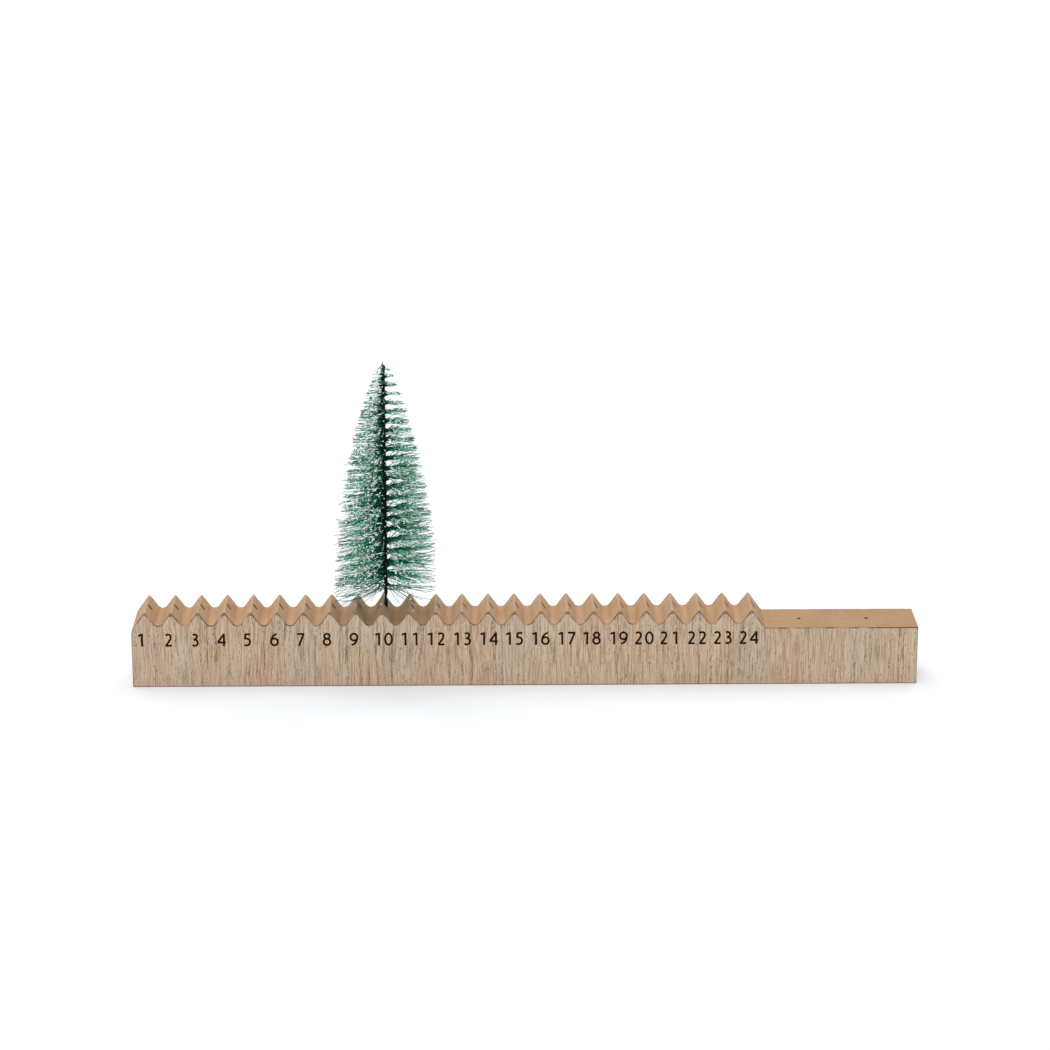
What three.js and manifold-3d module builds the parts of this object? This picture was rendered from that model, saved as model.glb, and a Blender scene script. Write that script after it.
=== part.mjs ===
// An advent calendar to stand on a shelf: a long wooden bar with one ridge for each of
// twenty-four days, a flat pad at its right end, and a small bottle-brush tree that is
// lifted from the socket of one ridge to the next.
// Sizes are in millimetres. The bar lies along X, its numbered face looks towards -Y, and
// the origin is the middle of its underside.

import * as THREE from "three";
import { mergeVertices } from "three/addons/utils/BufferGeometryUtils.js";
import Module from "manifold-3d";

// Bar, seen from the front
const ridgeCount = 24;
const ridgePitch = 16.74;
const endInset = 8.8; // left end to the first ridge
const padLength = 97.4; // flat place for a figure, at the right end
const ridgeHeight = 50;
const toothDepth = 8.9; // ridge to valley floor
const padDrop = 12; // ridge to pad
const tipRadius = 0.6;
const valleyRadius = 3.4;
const padFilletRadius = 2;

// Bar, from front to back: a board with a veneer on each face
const coreDepth = 34.8;
const veneerThickness = 0.6;
const veneerTipRadius = 2.8; // the thin veneer is worn rounder than the board

// Sockets drilled straight down beside each ridge, and two in the pad
const socketOffset = 1.9; // ridge line to socket axis, towards the right end
const socketDepth = 14; // below the ridge line
const socketClearance = 0.2; // stem to socket wall
const padSocketDiameter = 2.4;
const padSocketDepth = 10; // below the pad
const padSocketShares = [0.236, 0.679]; // of the pad's length, from its left end
const drillOverrun = 2; // drill above the surface that it enters

// Tree: bristles held between two wires that are twisted together
const treeRidge = 10; // the ridge whose socket holds the tree
const treeHeight = 159; // ridge line to the wires' top ends
const wireDiameter = 0.9;
const seatGap = 0.5; // wire ends to the socket floor
const bareStem = 8.7; // ridge line to the lowest bristles
const bareTip = 3.5; // highest bristles to the wires' top ends
const footTurnHeight = 16.14; // height of one turn at the ridge line
const topTurnHeight = 11.14; // height of one turn at the top
const bristleStartAngle = THREE.MathUtils.degToRad(93); // about Z at the ridge line

// Bristles: a narrow web between the wires with a strand out of each edge at each step
const webWidth = 2;
const webThickness = 0.2;
const webClearance = 0.2; // web to each wire
const bristleGroups = 4;
const groupGap = 0.3; // between the webs of two groups
const stepsPerGroup = 55;
const footReach = 32; // stem axis to strand tips, at the foot of the brush
const topReach = 2.5;
const footDroop = 6.5; // how far the lowest strands hang below their roots
const strandTipWidth = 0.45;
const strandTipHeight = 0.35;
const crowdingShare = 0.8; // a foot step is this share of an even one, as bristles crowd there
const raggedShare = 0.07; // how much a strand may fall short of the full reach

// Fineness of the curved surfaces
const tipSteps = 4;
const valleySteps = 6;
const drillSides = 12;
const wireSideSteps = 3; // each stands for two sides of the wire
const wireStepsPerTurn = 10;
const weldTolerance = 0.0005;

// Sizes that follow from the ones above
const centreDrop = toothDepth - tipRadius - valleyRadius;
const centreRun = ridgePitch / 2;
const flankAngle =
  Math.atan2(centreDrop, centreRun) +
  Math.asin((tipRadius + valleyRadius) / Math.hypot(centreDrop, centreRun));
const flankSlope = Math.tan(flankAngle);
const sharpRidgeHeight = ridgeHeight - tipRadius + tipRadius / Math.cos(flankAngle);
const valleyHeight = ridgeHeight - toothDepth;
const padHeight = ridgeHeight - padDrop;
const lastFlankRun = (sharpRidgeHeight - padHeight) / flankSlope;
const barLength = endInset + (ridgeCount - 1) * ridgePitch + lastFlankRun + padLength;
const leftEnd = -barLength / 2;
const rightEnd = barLength / 2;
const padStart = rightEnd - padLength;
const coreFrontY = -coreDepth / 2;
const coreBackY = coreDepth / 2;

const wireSpacing = wireDiameter + webThickness + 2 * webClearance;
const stemDiameter = wireSpacing + wireDiameter;
const socketDiameter = stemDiameter + 2 * socketClearance;
const stemFoot = -socketDepth + seatGap; // below the ridge line
const stemLength = treeHeight - stemFoot;
const brushHeight = treeHeight - bareTip - bareStem;

const ridgeX = (day) => leftEnd + endInset + (day - 1) * ridgePitch;
const socketX = (day) => ridgeX(day) + socketOffset;
const padSocketX = (share) => padStart + share * padLength;

// Solids

const wasm = await Module();
wasm.setup();

/** A closed three.js geometry as a solid that can be cut. */
function solidOf(geometry) {
  const bare = geometry.clone();
  bare.deleteAttribute("normal");
  bare.deleteAttribute("uv");
  const merged = mergeVertices(bare, weldTolerance);
  return new wasm.Manifold(
    new wasm.Mesh({
      numProp: 3,
      vertProperties: merged.getAttribute("position").array,
      triVerts: new Uint32Array(merged.index.array),
    }),
  );
}

/** A three.js geometry from lists of coordinates and of corner numbers. */
function geometryOf(coordinates, corners) {
  const geometry = new THREE.BufferGeometry();
  geometry.setAttribute("position", new THREE.BufferAttribute(new Float32Array(coordinates), 3));
  geometry.setIndex(new THREE.BufferAttribute(new Uint32Array(corners), 1));
  geometry.computeVertexNormals();
  return geometry;
}

/** A solid that has been cut, as a three.js geometry again. */
function cutGeometry(solid) {
  const { vertProperties, triVerts } = solid.getMesh();
  return geometryOf(vertProperties, triVerts);
}

/** A named piece with its own material. */
function piece(name, geometry, color, roughness, metalness) {
  const mesh = new THREE.Mesh(geometry, new THREE.MeshStandardMaterial({ color, roughness, metalness }));
  mesh.name = name;
  return mesh;
}

// Bar

/** Points of an arc in the XZ plane, from one angle to another. */
function arc(x, z, radius, from, to, steps) {
  return new THREE.EllipseCurve(x, z, radius, radius, from, to, to < from).getPoints(steps);
}

/** The bar's outline from the front, with ridges of the given tip radius. */
function toothedOutline(radius) {
  const up = Math.PI / 2;
  const down = -Math.PI / 2;
  const tipCentre = sharpRidgeHeight - radius / Math.cos(flankAngle);
  const endHeight = sharpRidgeHeight - endInset * flankSlope;
  const points = [new THREE.Vector2(leftEnd, 0), new THREE.Vector2(leftEnd, endHeight)];
  for (let day = 1; day <= ridgeCount; day += 1) {
    const x = ridgeX(day);
    points.push(...arc(x, tipCentre, radius, up + flankAngle, up - flankAngle, tipSteps));
    if (day < ridgeCount) {
      const [from, to] = [down - flankAngle, down + flankAngle];
      points.push(...arc(x + centreRun, valleyHeight + valleyRadius, valleyRadius, from, to, valleySteps));
    }
  }
  const filletRun = padFilletRadius * Math.tan(flankAngle / 2);
  const filletX = padStart + filletRun;
  points.push(...arc(filletX, padHeight + padFilletRadius, padFilletRadius, down - flankAngle, down, tipSteps));
  points.push(new THREE.Vector2(rightEnd, padHeight), new THREE.Vector2(rightEnd, 0));
  return points;
}

/** A board with the given outline between two depths. */
function board(outline, frontY, backY) {
  const geometry = new THREE.ExtrudeGeometry(new THREE.Shape(outline), { depth: 1, bevelEnabled: false });
  const run = frontY - backY;
  const stand = new THREE.Matrix4().set(1, 0, 0, 0, 0, 0, run, backY, 0, 1, 0, 0, 0, 0, 0, 1);
  return geometry.applyMatrix4(stand);
}

/** A drill standing at x, in the middle of the bar's depth, between two heights. */
function drill(x, floor, top, diameter) {
  const geometry = new THREE.CylinderGeometry(diameter / 2, diameter / 2, top - floor, drillSides);
  geometry.rotateX(Math.PI / 2);
  geometry.translate(x, 0, (floor + top) / 2);
  return solidOf(geometry);
}

/** The core board with all its sockets. */
function coreGeometry() {
  let core = solidOf(board(toothedOutline(tipRadius), coreFrontY, coreBackY));
  for (let day = 1; day <= ridgeCount; day += 1) {
    const [floor, top] = [ridgeHeight - socketDepth, ridgeHeight + drillOverrun];
    core = core.subtract(drill(socketX(day), floor, top, socketDiameter));
  }
  for (const share of padSocketShares) {
    const [floor, top] = [padHeight - padSocketDepth, padHeight + drillOverrun];
    core = core.subtract(drill(padSocketX(share), floor, top, padSocketDiameter));
  }
  return cutGeometry(core);
}

/** The bar: the core and the veneer on its front and back. */
function makeBar() {
  const bar = new THREE.Group();
  const veneerOutline = toothedOutline(veneerTipRadius);
  const front = board(veneerOutline, coreFrontY - veneerThickness, coreFrontY);
  const back = board(veneerOutline, coreBackY, coreBackY + veneerThickness);
  bar.add(piece("core_block", coreGeometry(), 0xc39b73, 0.8, 0));
  bar.add(piece("front_veneer", front, 0xc3aa91, 0.75, 0));
  bar.add(piece("back_veneer", back, 0xc3aa91, 0.75, 0));
  return bar;
}

// Tree, with Z counted from the ridge line

/** Direction of the bristles at a height: the stem has a left-hand twist, tighter to the top. */
function bristleAngle(z) {
  const tightening = (1 / topTurnHeight - 1 / footTurnHeight) / (2 * treeHeight);
  return bristleStartAngle - 2 * Math.PI * (z / footTurnHeight + z * z * tightening);
}

/** One wire of the stem: it winds about the tree's axis, square to the bristles. */
class StemWire extends THREE.Curve {
  constructor(side) {
    super();
    this.side = side;
  }

  getPoint(share, target = new THREE.Vector3()) {
    const z = stemFoot + share * stemLength;
    const angle = bristleAngle(z) + (this.side * Math.PI) / 2;
    const radius = wireSpacing / 2;
    return target.set(radius * Math.cos(angle), radius * Math.sin(angle), z);
  }
}

/** A round wire along its curve. */
function wireGeometry(side) {
  const section = new THREE.Shape().absarc(0, 0, wireDiameter / 2, 0, 2 * Math.PI);
  const turns = Math.abs(bristleAngle(treeHeight) - bristleAngle(stemFoot)) / (2 * Math.PI);
  return new THREE.ExtrudeGeometry(section, {
    curveSegments: wireSideSteps,
    steps: Math.round(turns * wireStepsPerTurn),
    extrudePath: new StemWire(side),
  });
}

/** Height of a web step's lower edge: the steps are closest together at the foot. */
function stepHeight(step) {
  const share = step / (bristleGroups * stepsPerGroup);
  return bareStem + brushHeight * (crowdingShare * share + (1 - crowdingShare) * share * share);
}

/** How far the strands reach from the stem's axis: the brush narrows to the top as a parabola. */
function reachAt(z, step) {
  const share = (z - bareStem) / brushHeight;
  const goldenShare = (Math.sqrt(5) - 1) / 2;
  const ragged = 1 - raggedShare * ((step * goldenShare) % 1);
  return (topReach + (footReach - topReach) * (1 - share * share)) * ragged;
}

/** How far the strand tips hang below their roots: only the lowest ones do. */
function droopAt(z) {
  const share = (z - bareStem) / brushHeight;
  return footDroop * (1 - share) ** 3;
}

/** One group of bristles: a twisted web with a tapered strand out of both its edges. */
function bristleGeometry(group) {
  const coordinates = [];
  const corners = [];
  const quad = (a, b, c, d) => corners.push(a, b, c, a, c, d);

  /** Four corners round a centre: out along an angle, across it and up. */
  const addCorners = (angle, out, z, halfWidth, halfHeight) => {
    const first = coordinates.length / 3;
    for (const [across, up] of [[-1, -1], [1, -1], [1, 1], [-1, 1]]) {
      const x = out * Math.cos(angle) - across * halfWidth * Math.sin(angle);
      const y = out * Math.sin(angle) + across * halfWidth * Math.cos(angle);
      coordinates.push(x, y, z + up * halfHeight);
    }
    return first;
  };

  /** The web's corners at one height, going round: two on each edge. */
  const addRing = (z) => {
    const first = coordinates.length / 3;
    const angle = bristleAngle(z);
    for (const [along, across] of [[1, -1], [1, 1], [-1, 1], [-1, -1]]) {
      const u = (along * webWidth) / 2;
      const v = (across * webThickness) / 2;
      coordinates.push(u * Math.cos(angle) - v * Math.sin(angle), u * Math.sin(angle) + v * Math.cos(angle), z);
    }
    return first;
  };

  const firstStep = group * stepsPerGroup;
  const lastStep = firstStep + stepsPerGroup;
  const ringHeight = (step) => stepHeight(step) + (step === firstStep && group > 0 ? groupGap : 0);
  let below = addRing(ringHeight(firstStep));
  quad(below + 3, below + 2, below + 1, below);
  for (let step = firstStep; step < lastStep; step += 1) {
    const above = addRing(ringHeight(step + 1));
    const root = (ringHeight(step) + ringHeight(step + 1)) / 2;
    const angle = bristleAngle(root);
    const tipZ = root - droopAt(root);
    for (const [a, b, direction] of [[0, 1, angle], [2, 3, angle + Math.PI]]) {
      const tip = addCorners(direction, reachAt(root, step), tipZ, strandTipWidth / 2, strandTipHeight / 2);
      quad(below + a, below + b, tip + 1, tip);
      quad(below + b, above + b, tip + 2, tip + 1);
      quad(above + b, above + a, tip + 3, tip + 2);
      quad(above + a, below + a, tip, tip + 3);
      quad(tip, tip + 1, tip + 2, tip + 3);
    }
    quad(below + 1, below + 2, above + 2, above + 1);
    quad(below + 3, below, above, above + 3);
    below = above;
  }
  quad(below, below + 1, below + 2, below + 3);
  return geometryOf(coordinates, corners);
}

/** The tree: two twisted wires and the bristles that they hold. */
function makeTree() {
  const tree = new THREE.Group();
  tree.position.set(socketX(treeRidge), 0, ridgeHeight);
  tree.add(piece("stem_wire_a", wireGeometry(1), 0x1c2b22, 0.45, 0.6));
  tree.add(piece("stem_wire_b", wireGeometry(-1), 0x1c2b22, 0.45, 0.6));
  for (let group = 0; group < bristleGroups; group += 1) {
    tree.add(piece(`bristles_${group + 1}`, bristleGeometry(group), 0x1f6b4e, 0.6, 0));
  }
  return tree;
}

const calendar = new THREE.Group();
calendar.add(makeBar(), makeTree());

export default calendar;
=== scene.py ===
"""An advent calendar: a long wooden bar with a numbered ridge for each day and a bottle-brush tree.

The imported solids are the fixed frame. The classes below build the finer board, veneers, printed
numbers, wires, bristles and snow in the same places, and dress them. Sizes are in millimetres in
the dataclasses and are turned into metres where a mesh is made.
"""

from __future__ import annotations

import logging
import math
import random
from abc import ABC, abstractmethod
from dataclasses import dataclass, field
from enum import Enum
from typing import Callable, Iterable, Mapping, Sequence

import bmesh
import bpy
from mathutils import Matrix, Vector, geometry, noise


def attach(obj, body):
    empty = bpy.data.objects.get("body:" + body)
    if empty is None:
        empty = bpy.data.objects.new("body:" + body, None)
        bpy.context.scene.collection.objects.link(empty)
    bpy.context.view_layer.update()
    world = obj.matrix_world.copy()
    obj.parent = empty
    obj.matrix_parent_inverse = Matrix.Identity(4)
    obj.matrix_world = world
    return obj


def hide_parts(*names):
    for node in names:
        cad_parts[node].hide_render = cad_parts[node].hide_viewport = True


LOG = logging.getLogger("advent_calendar")
MM = 0.001
TURN = 2 * math.pi
QUARTER = math.pi / 2
WHITE = (1, 1, 1, 1)

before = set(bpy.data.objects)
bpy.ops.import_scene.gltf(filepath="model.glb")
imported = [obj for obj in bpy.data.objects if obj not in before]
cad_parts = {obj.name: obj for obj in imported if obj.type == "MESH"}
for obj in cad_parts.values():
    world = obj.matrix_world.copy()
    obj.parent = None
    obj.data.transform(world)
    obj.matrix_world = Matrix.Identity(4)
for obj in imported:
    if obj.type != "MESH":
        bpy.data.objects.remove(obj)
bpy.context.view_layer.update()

Colour = tuple[float, float, float]
Point2 = tuple[float, float]
Span = tuple[float, float]


class Slot(Enum):
    """The record's material slots."""

    BOARD = "core_board"
    VENEER = "veneer"
    WIRE = "stem_wire"
    BRISTLE = "bristle"
    INK = "ink"
    SNOW = "snow"


class Body(Enum):
    """The bodies of the frame."""

    BAR = "bar"
    TREE = "tree"


def tone(red: float, green: float, blue: float) -> tuple[float, float, float, float]:
    """A colour as it looks on a screen, from 0 to 255, as the linear colour that a shader takes.

    Args:
        red, green, blue: The three shares.

    Returns:
        The linear colour with full alpha.
    """
    low, slope, lift, power = 0.04045, 12.92, 0.055, 2.4
    shares = (value / 255 for value in (red, green, blue))
    linear = (s / slope if s <= low else ((s + lift) / (1 + lift)) ** power for s in shares)
    return (*linear, 1.0)


# Shader maths


def both_ways(operation: str) -> tuple[Operator, Operator]:
    """A Math operation as the method of an operator and as its reflected form.

    Args:
        operation: The Math node's operation.

    Returns:
        The method for a signal and a term, and the one for the term and the signal.
    """

    def plain(self: Signal, other: Term) -> Signal:
        """The operation on this signal and the other term."""
        return self.reckon(operation, self, other)

    def reflected(self: Signal, other: Term) -> Signal:
        """The operation on the other term and this signal."""
        return self.reckon(operation, other, self)

    return plain, reflected


class Signal:
    """A node's output. Arithmetic on it adds Math nodes."""

    def __init__(self, bench: Bench, socket: bpy.types.NodeSocket) -> None:
        """Keeps the socket and the bench that it belongs to."""
        self.bench = bench
        self.socket = socket

    def reckon(self, operation: str, *terms: Term) -> Signal:
        """One Math node on the given terms."""
        return self.bench.add("ShaderNodeMath", {"operation": operation}, dict(enumerate(terms)))

    __add__, __radd__ = both_ways("ADD")
    __sub__, __rsub__ = both_ways("SUBTRACT")
    __mul__, __rmul__ = both_ways("MULTIPLY")
    __truediv__, __rtruediv__ = both_ways("DIVIDE")
    __pow__, __rpow__ = both_ways("POWER")

    def __abs__(self) -> Signal:
        """The value without its sign."""
        return self.reckon("ABSOLUTE", self)

    def times(self, share: float) -> Signal:
        """The value times a share, with no node for the whole."""
        return self if share == 1 else self * share

    def ramp(self, low: Term, high: Term) -> Signal:
        """A soft step.

        Args:
            low: Where it starts to rise from 0.
            high: Where it reaches 1.

        Returns:
            The step as a signal from 0 to 1.
        """
        sockets = {"Value": self, "From Min": low, "From Max": high}
        return self.bench.add("ShaderNodeMapRange", {"interpolation_type": "SMOOTHSTEP"}, sockets)


Term = Signal | float
Operator = Callable[[Signal, Term], Signal]
Layers = dict[str, Signal]


@dataclass(frozen=True)
class Grain:
    """Soft noise: its sizes along X, Y and Z, its finer layers and how strong they are.

    With a slice it is the same at every Y.
    """

    sizes: tuple[float, float, float]
    finer: float = 2
    rough: float = 0.5
    slice: float | None = None


class Bench:
    """Where the nodes of one material, or of the world, are put together."""

    def __init__(self, owner: bpy.types.Material | bpy.types.World) -> None:
        """Empties the owner's node tree."""
        owner.use_nodes = True
        self.tree = owner.node_tree
        self.tree.nodes.clear()

    def add(
        self,
        kind: str,
        settings: Mapping[str, object] | None = None,
        sockets: Mapping[str | int, object] | None = None,
        output: str | int = 0,
    ) -> Signal:
        """Adds one node.

        Args:
            kind: The node's type.
            settings: Its properties, set first; "stops" are a colour ramp's positions and colours.
            sockets: Values or signals for its inputs, by name or number.
            output: The output that is wanted.

        Returns:
            That output as a signal.
        """
        node = self.tree.nodes.new(kind)
        for name, value in (settings or {}).items():
            if name == "stops":
                elements = node.color_ramp.elements
                while len(elements) < len(value):
                    elements.new(0.5)
                for element, (position, colour) in zip(elements, value):
                    element.position, element.color = position, colour
            else:
                setattr(node, name, value)
        for name, value in (sockets or {}).items():
            if isinstance(value, Signal):
                self.tree.links.new(value.socket, node.inputs[name])
            else:
                node.inputs[name].default_value = value
        return Signal(self, node.outputs[output] if len(node.outputs) else None)

    def place(self) -> tuple[Signal, Signal, Signal]:
        """The place of a point in the frame, in millimetres, as three signals."""
        here = self.add("ShaderNodeTexCoord", output="Object")
        apart = [self.add("ShaderNodeSeparateXYZ", None, {0: here}, axis) for axis in "XYZ"]
        return tuple(signal / MM for signal in apart)

    def attribute(self, name: str) -> Signal:
        """A number that the mesh carries at its corners."""
        return self.add("ShaderNodeAttribute", {"attribute_name": name}, None, "Fac")

    def scaled(self, place: Sequence[Term], sizes: Sequence[float]) -> Signal:
        """A place in millimetres as a vector, divided by the sizes of a pattern."""
        terms = [term / size for term, size in zip(place, sizes)]
        return self.add("ShaderNodeCombineXYZ", None, dict(enumerate(terms)))

    def noise(self, grain: Grain, place: Sequence[Term]) -> Signal:
        """Soft noise.

        Args:
            grain: The noise's sizes and layers.
            place: Three coordinates in millimetres.

        Returns:
            The noise, from 0 to 1 about 0.5.
        """
        x, y, z = place
        where = self.scaled((x, y if grain.slice is None else grain.slice, z), grain.sizes)
        sockets = {"Vector": where, "Scale": 1.0, "Detail": grain.finer, "Roughness": grain.rough}
        return self.add("ShaderNodeTexNoise", None, sockets, "Fac")

    def cells(self, sizes: Sequence[float], place: Sequence[Term]) -> tuple[Signal, Signal]:
        """Scattered spots.

        Args:
            sizes: The mean distance between spots along X, Y and Z.
            place: Three coordinates in millimetres.

        Returns:
            The distance to the nearest spot, and a random number for it.
        """
        sockets = {"Vector": self.scaled(place, sizes), "Scale": 1.0, "Randomness": 1.0}
        distance = self.add("ShaderNodeTexVoronoi", None, sockets, "Distance")
        colour = self.add("ShaderNodeTexVoronoi", None, sockets, "Color")
        return distance, self.add("ShaderNodeSeparateColor", None, {0: colour}, "Red")

    def blend(self, share: Term, first: object, second: object) -> Signal:
        """Two colours in one, with so much of the second."""
        settings = {"data_type": "RGBA", "blend_type": "MIX"}
        return self.add("ShaderNodeMix", settings, {0: share, 6: first, 7: second}, 2)

    def relief(self, height: Signal, depth: float) -> Signal:
        """A normal that follows a height, of which 1 stands for the depth in millimetres."""
        sockets = {"Height": height, "Strength": 1.0, "Distance": depth * MM}
        return self.add("ShaderNodeBump", None, sockets)

    def looked_at(self) -> Signal:
        """1 for what the camera sees, also in gloss or through glass, and 0 for light alone."""
        names = ("Is Camera Ray", "Is Glossy Ray", "Is Transmission Ray")
        seen = [self.add("ShaderNodeLightPath", None, None, name) for name in names]
        return (seen[0] + seen[1] + seen[2]).ramp(0.0, 1.0)

    def close(self, shader: Signal) -> None:
        """Ends the material with a shader."""
        self.add("ShaderNodeOutputMaterial", None, {"Surface": shader})


# Finishes


class Finish(ABC):
    """What a surface is made of and looks like."""

    name: str

    @abstractmethod
    def draw(self, bench: Bench) -> None:
        """Puts the nodes on the bench.

        Args:
            bench: Where the nodes go.
        """

    def material(self) -> bpy.types.Material:
        """The finish as a material, made once."""
        found = bpy.data.materials.get(self.name)
        if found:
            return found
        made = bpy.data.materials.new(self.name)
        self.draw(Bench(made))
        return made


@dataclass(frozen=True)
class Coat:
    """A colour laid over those before it, by the names of the colour and of the layer it follows.

    It lies where the layer rises through the span, or falls through one that is given from high
    to low. With no span it follows the layer's own value.
    """

    colour: str
    layer: str
    share: float = 1.0
    span: Span | None = None

    def mask(self, layer: Signal) -> Signal:
        """How much of the coat there is.

        Args:
            layer: The layer that it follows.

        Returns:
            The share, from 0 to 1.
        """
        if not self.span:
            return layer.times(self.share)
        rising = layer.ramp(min(self.span), max(self.span))
        return (1 - rising if self.span[0] > self.span[1] else rising).times(self.share)


@dataclass(frozen=True)
class CoatedFinish(Finish):
    """Coats over a ground colour, with a roughness and a relief that follow some of the layers.

    The roughness is its least value, how much a layer adds, and that layer's name. The relief is
    how much each layer adds to the height, and the depth is what a height of 1 stands for.
    """

    name: str = ""
    ground: str = ""
    grain: Grain = Grain((1, 1, 1))
    coats: tuple[Coat, ...] = ()
    rough: tuple[float, float, str] = (0.7, 0.0, "")
    relief: tuple[tuple[float, str], ...] = ((1, "grain"),)
    depth: float = 0.03
    gloss: float = 0.3

    def layers(self, bench: Bench) -> Layers:
        """The layers that the finish follows: here one grain and the height in the frame."""
        place = bench.place()
        return {"grain": bench.noise(self.grain, place), "height": place[2]}

    def colour(self, name: str) -> tuple[float, float, float, float]:
        """One of the finish's colours, as a shader takes it."""
        return tone(*getattr(self, name))

    def base(self, bench: Bench, layers: Layers) -> object:
        """The colour under all coats."""
        return self.colour(self.ground)

    def draw(self, bench: Bench) -> None:
        """Puts the nodes on the bench.

        Args:
            bench: Where the nodes go.
        """
        layers = self.layers(bench)
        colour = self.base(bench, layers)
        for coat in self.coats:
            colour = bench.blend(coat.mask(layers[coat.layer]), colour, self.colour(coat.colour))
        least, more, layer = self.rough
        rough = least + layers[layer] * more if layer else least
        sockets = {"Base Color": colour, "Roughness": rough, "Specular IOR Level": self.gloss}
        if self.relief:
            first, *others = [layers[name].times(share) for share, name in self.relief]
            sockets["Normal"] = bench.relief(sum(others, first), self.depth)
        if "metal" in layers:
            sockets["Metallic"] = layers["metal"]
        bench.close(bench.add("ShaderNodeBsdfPrincipled", None, sockets))


@dataclass(frozen=True)
class VeneerFinish(CoatedFinish):
    """Thin open-grained wood with upright grain, tonal bands and short dark pores."""

    shift: float = 0.0
    pale: Colour = (210, 187, 161)
    plain: Colour = (187, 163, 139)
    rosy: Colour = (193, 158, 133)
    straw: Colour = (188, 168, 146)
    brown: Colour = (150, 122, 98)
    dark: Colour = (121, 92, 70)
    pore: Colour = (92, 68, 50)
    edge: Colour = (74, 53, 41)
    wave: Grain = Grain((26, 1, 32), slice=0)
    ripple: Grain = Grain((5, 1, 20), slice=3)
    band: Grain = Grain((8, 1, 240), 3, 0.62, 7)
    hue: Grain = Grain((22, 1, 160), 3, 0.55, 31)
    streak: Grain = Grain((0.9, 1, 60), 4, 0.72, 11)
    fibre: Grain = Grain((0.66, 1, 15), 2, 0.6, 17)
    column: Grain = Grain((2.6, 1, 170), 2, 0.5, 23)
    broken: Grain = Grain((1.2, 1, 8), 3, 0.6, 29)
    patch: Grain = Grain((13, 1, 15), 1, 0.5, 37)
    sways: tuple[float, float, float] = (0.5, 5.6, 0.2)
    wavy_end: Span = (-215, -95)
    pore_sizes: tuple[float, float, float] = (0.58, 1, 2.9)
    pore_radii: Span = (0.2, 0.4)
    pore_soft: float = 0.06
    crowd_shares: tuple[float, float, float] = (0.6, 0.2, 0.05)
    crowded_columns: Span = (0.46, 0.64)
    crowded_patches: Span = (0.5, 0.7)
    lined_columns: Span = (0.56, 0.66)
    line_breaks: Span = (0.42, 0.62)
    line_shares: tuple[float, float] = (0.3, 0.6)
    ground: str = "pale"
    coats: tuple[Coat, ...] = (
        Coat("plain", "band", span=(0.34, 0.64)),
        Coat("rosy", "hue", 0.85, (0.46, 0.62)),
        Coat("straw", "hue", 0.8, (0.48, 0.34)),
        Coat("brown", "streak", 0.8, (0.46, 0.64)),
        Coat("dark", "lines"),
        Coat("brown", "fibre", 0.62, (0.46, 0.32)),
        Coat("pale", "fibre", 0.9, (0.47, 0.62)),
        Coat("pore", "hollow", 0.8),
        # the rim's edge colour: a brown cut edge, and along the foot painted contact shadow
        Coat("edge", "rim", 0.92),
    )
    rough: tuple[float, float, str] = (0.62, 0.2, "streak")
    relief: tuple[tuple[float, str], ...] = ((0.35, "streak"), (0.3, "fibre"), (-0.9, "hollow"))
    depth: float = 0.09

    def layers(self, bench: Bench) -> Layers:
        """The wood's layers along its swaying grain, its pores and its rim: a brown cut edge, with
        painted contact shadow along the foot.

        Args:
            bench: Where the nodes go.

        Returns:
            The layers by name.
        """
        x, y, z = bench.place()
        x = x + self.shift
        least, wavier, rippled = self.sways
        wavy = least + (1 - x.ramp(*self.wavy_end)) * wavier
        wave, ripple = (bench.noise(grain, (x, y, z)) for grain in (self.wave, self.ripple))
        across = x + (wave * wavy + ripple * rippled)
        names = ("band", "hue", "streak", "fibre", "column", "broken")
        made = {name: bench.noise(getattr(self, name), (across, y, z)) for name in names}
        spot, chance = bench.cells(self.pore_sizes, (across, 0.0, z))
        in_columns, in_patches, anywhere = self.crowd_shares
        patches = bench.noise(self.patch, (x, y, z)).ramp(*self.crowded_patches) * in_patches
        crowd = made["column"].ramp(*self.crowded_columns) * in_columns + patches + anywhere
        rare = 1 - (chance - crowd).ramp(0, self.pore_soft)
        least, more = self.line_shares
        broken = least + made["broken"].ramp(*self.line_breaks) * more
        return {
            **made,
            "hollow": (1 - spot.ramp(*self.pore_radii)) * rare,
            "lines": made["column"].ramp(*self.lined_columns) * broken,
            "rim": bench.attribute("rim"),
        }


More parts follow.
